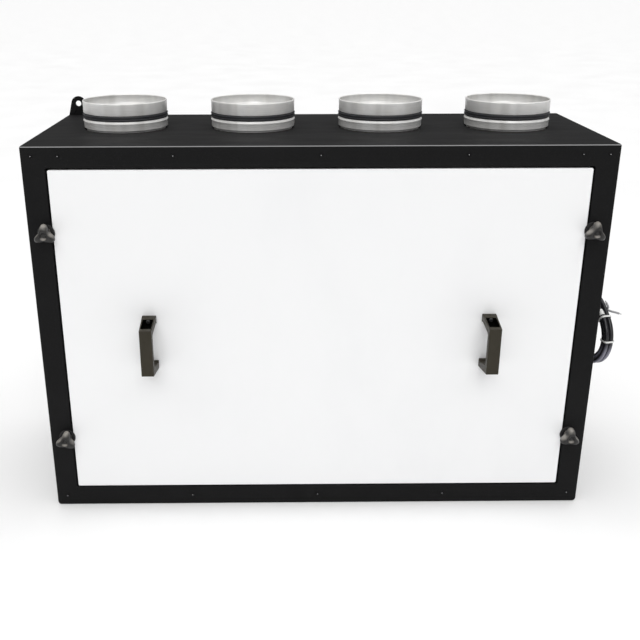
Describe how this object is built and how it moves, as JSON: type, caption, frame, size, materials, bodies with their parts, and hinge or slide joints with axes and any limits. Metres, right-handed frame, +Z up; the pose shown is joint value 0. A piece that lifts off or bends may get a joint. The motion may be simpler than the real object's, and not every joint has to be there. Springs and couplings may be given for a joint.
{
  "type": "heat recovery unit",
  "caption": "Black sheet-metal heat recovery ventilation unit with round duct spigots on top, a lift-off white door on clamping knobs, and fans, filters and exchanger inside.",
  "frame": {"origin": "centre of the case's underside, on the surface it stands on", "axes": "+X to the right as seen from the front, +Y from the door towards the back, +Z up through the duct spigots"},
  "size_m": [0.8846, 0.3493, 0.5906],
  "materials": {
    "black_sheet": "black powder coat, fine satin texture",
    "white_sheet": "white powder coat, smooth satin",
    "galvanised": "galvanised sheet, softly brushed round the ring",
    "steel": "zinc plated",
    "rubber": "matt extruded rubber",
    "foam": "closed-cell foam, matt charcoal",
    "door_foam": "light bead foam",
    "knob_plastic": "moulded, semi-gloss",
    "handle_plastic": "moulded, fine grain",
    "grey_plastic": "moulded, matt",
    "fan_plastic": "glass-filled, fine grain",
    "exchanger": "thin formed plates, slight sheen",
    "filter_frame": "stiff card",
    "filter_media": "pleated fleece",
    "board": "solder mask over glass laminate",
    "cable": "smooth jacket, slight gloss",
    "tie_plastic": "natural nylon"
  },
  "bodies": {
    "case": {"case_wrap": "black_sheet", "top_panel": "black_sheet", "back_panel": "black_sheet", "front_frame": "black_sheet", "ear_left": "black_sheet", "ear_right": "black_sheet", "insulation_top": "foam", "insulation_wrap": "foam", "insulation_back": "foam", "spigot_supply": "galvanised", "spigot_seal_supply": "rubber", "spigot_extract": "galvanised", "spigot_seal_extract": "rubber", "spigot_outdoor": "galvanised", "spigot_seal_outdoor": "rubber", "spigot_exhaust": "galvanised", "spigot_seal_exhaust": "rubber", "divider_left": "grey_plastic", "divider_right": "grey_plastic", "divider_upper": "grey_plastic", "condensate_tray": "grey_plastic", "drain_boss": "grey_plastic", "bypass_baffle": "grey_plastic", "bypass_actuator": "grey_plastic", "control_box": "grey_plastic", "control_cover": "grey_plastic", "lead_core_1": "grey_plastic", "lead_core_2": "grey_plastic", "control_board": "board", "cable_gland": "knob_plastic", "lead_tube": "cable", "lead_coil": "cable", "lead_tie_front": "tie_plastic", "lead_tie_top": "tie_plastic", "fan_scroll_supply": "fan_plastic", "fan_motor_supply": "steel", "fan_scroll_exhaust": "fan_plastic", "fan_motor_exhaust": "steel"},
    "door": {"door_skin": "white_sheet", "door_insulation": "door_foam", "door_seal": "rubber", "handle_left": "handle_plastic", "handle_right": "handle_plastic"},
    "filter_extract": {"filter_frame_extract": "filter_frame", "filter_media_extract": "filter_media"},
    "filter_outdoor": {"filter_frame_outdoor": "filter_frame", "filter_media_outdoor": "filter_media"},
    "exchanger": {"exchanger_core": "exchanger", "exchanger_cap": "grey_plastic"},
    "supply_wheel": {"impeller_supply": "fan_plastic"},
    "exhaust_wheel": {"impeller_exhaust": "fan_plastic"},
    "bypass": {"bypass_flap": "grey_plastic"},
    "washer_top_left": {"washer_top_left": "steel"},
    "knob_top_left": {"knob_top_left": "knob_plastic"},
    "washer_top_right": {"washer_top_right": "steel"},
    "knob_top_right": {"knob_top_right": "knob_plastic"},
    "washer_bottom_left": {"washer_bottom_left": "steel"},
    "knob_bottom_left": {"knob_bottom_left": "knob_plastic"},
    "washer_bottom_right": {"washer_bottom_right": "steel"},
    "knob_bottom_right": {"knob_bottom_right": "knob_plastic"}
  },
  "joints": [
    {"name": "door_lift", "type": "slide", "parent": "case", "child": "door", "axis": [0, -1, 0], "range_m": [0, 0.2]},
    {"name": "unscrew_top_left", "type": "slide", "parent": "case", "child": "washer_top_left", "axis": [0, -1, 0], "range_m": [0, 0.25]},
    {"name": "turn_top_left", "type": "hinge", "parent": "washer_top_left", "child": "knob_top_left", "pos_m": [-0.375, -0.15, 0.4325], "axis": [0, 1, 0], "continuous": true},
    {"name": "unscrew_top_right", "type": "slide", "parent": "case", "child": "washer_top_right", "axis": [0, -1, 0], "range_m": [0, 0.25]},
    {"name": "turn_top_right", "type": "hinge", "parent": "washer_top_right", "child": "knob_top_right", "pos_m": [0.375, -0.15, 0.4325], "axis": [0, 1, 0], "continuous": true},
    {"name": "unscrew_bottom_left", "type": "slide", "parent": "case", "child": "washer_bottom_left", "axis": [0, -1, 0], "range_m": [0, 0.25]},
    {"name": "turn_bottom_left", "type": "hinge", "parent": "washer_bottom_left", "child": "knob_bottom_left", "pos_m": [-0.375, -0.15, 0.1175], "axis": [0, 1, 0], "continuous": true},
    {"name": "unscrew_bottom_right", "type": "slide", "parent": "case", "child": "washer_bottom_right", "axis": [0, -1, 0], "range_m": [0, 0.25]},
    {"name": "turn_bottom_right", "type": "hinge", "parent": "washer_bottom_right", "child": "knob_bottom_right", "pos_m": [0.375, -0.15, 0.1175], "axis": [0, 1, 0], "continuous": true},
    {"name": "filter_extract_out", "type": "slide", "parent": "case", "child": "filter_extract", "axis": [0, -1, 0], "range_m": [0, 0.15]},
    {"name": "filter_outdoor_out", "type": "slide", "parent": "case", "child": "filter_outdoor", "axis": [0, -1, 0], "range_m": [0, 0.15]},
    {"name": "exchanger_out", "type": "slide", "parent": "case", "child": "exchanger", "axis": [0, -1, 0], "range_m": [0, 0.12]},
    {"name": "supply_spin", "type": "hinge", "parent": "case", "child": "supply_wheel", "pos_m": [-0.262, 0, 0.112], "axis": [0, 1, 0], "continuous": true},
    {"name": "exhaust_spin", "type": "hinge", "parent": "case", "child": "exhaust_wheel", "pos_m": [0.262, 0, 0.112], "axis": [0, 1, 0], "continuous": true},
    {"name": "bypass_turn", "type": "hinge", "parent": "case", "child": "bypass", "pos_m": [-0.08, 0.1255, 0.364], "axis": [-1, 0, 0], "range_deg": [0, 85]}
  ],
  "couplings": [
    {"joint": "unscrew_top_left", "follows": "door_lift", "ratio": 1.25},
    {"joint": "unscrew_top_right", "follows": "door_lift", "ratio": 1.25},
    {"joint": "unscrew_bottom_left", "follows": "door_lift", "ratio": 1.25},
    {"joint": "unscrew_bottom_right", "follows": "door_lift", "ratio": 1.25},
    {"joint": "filter_extract_out", "follows": "door_lift", "ratio": 0.75},
    {"joint": "filter_outdoor_out", "follows": "door_lift", "ratio": 0.75},
    {"joint": "exchanger_out", "follows": "door_lift", "ratio": 0.6}
  ]
}
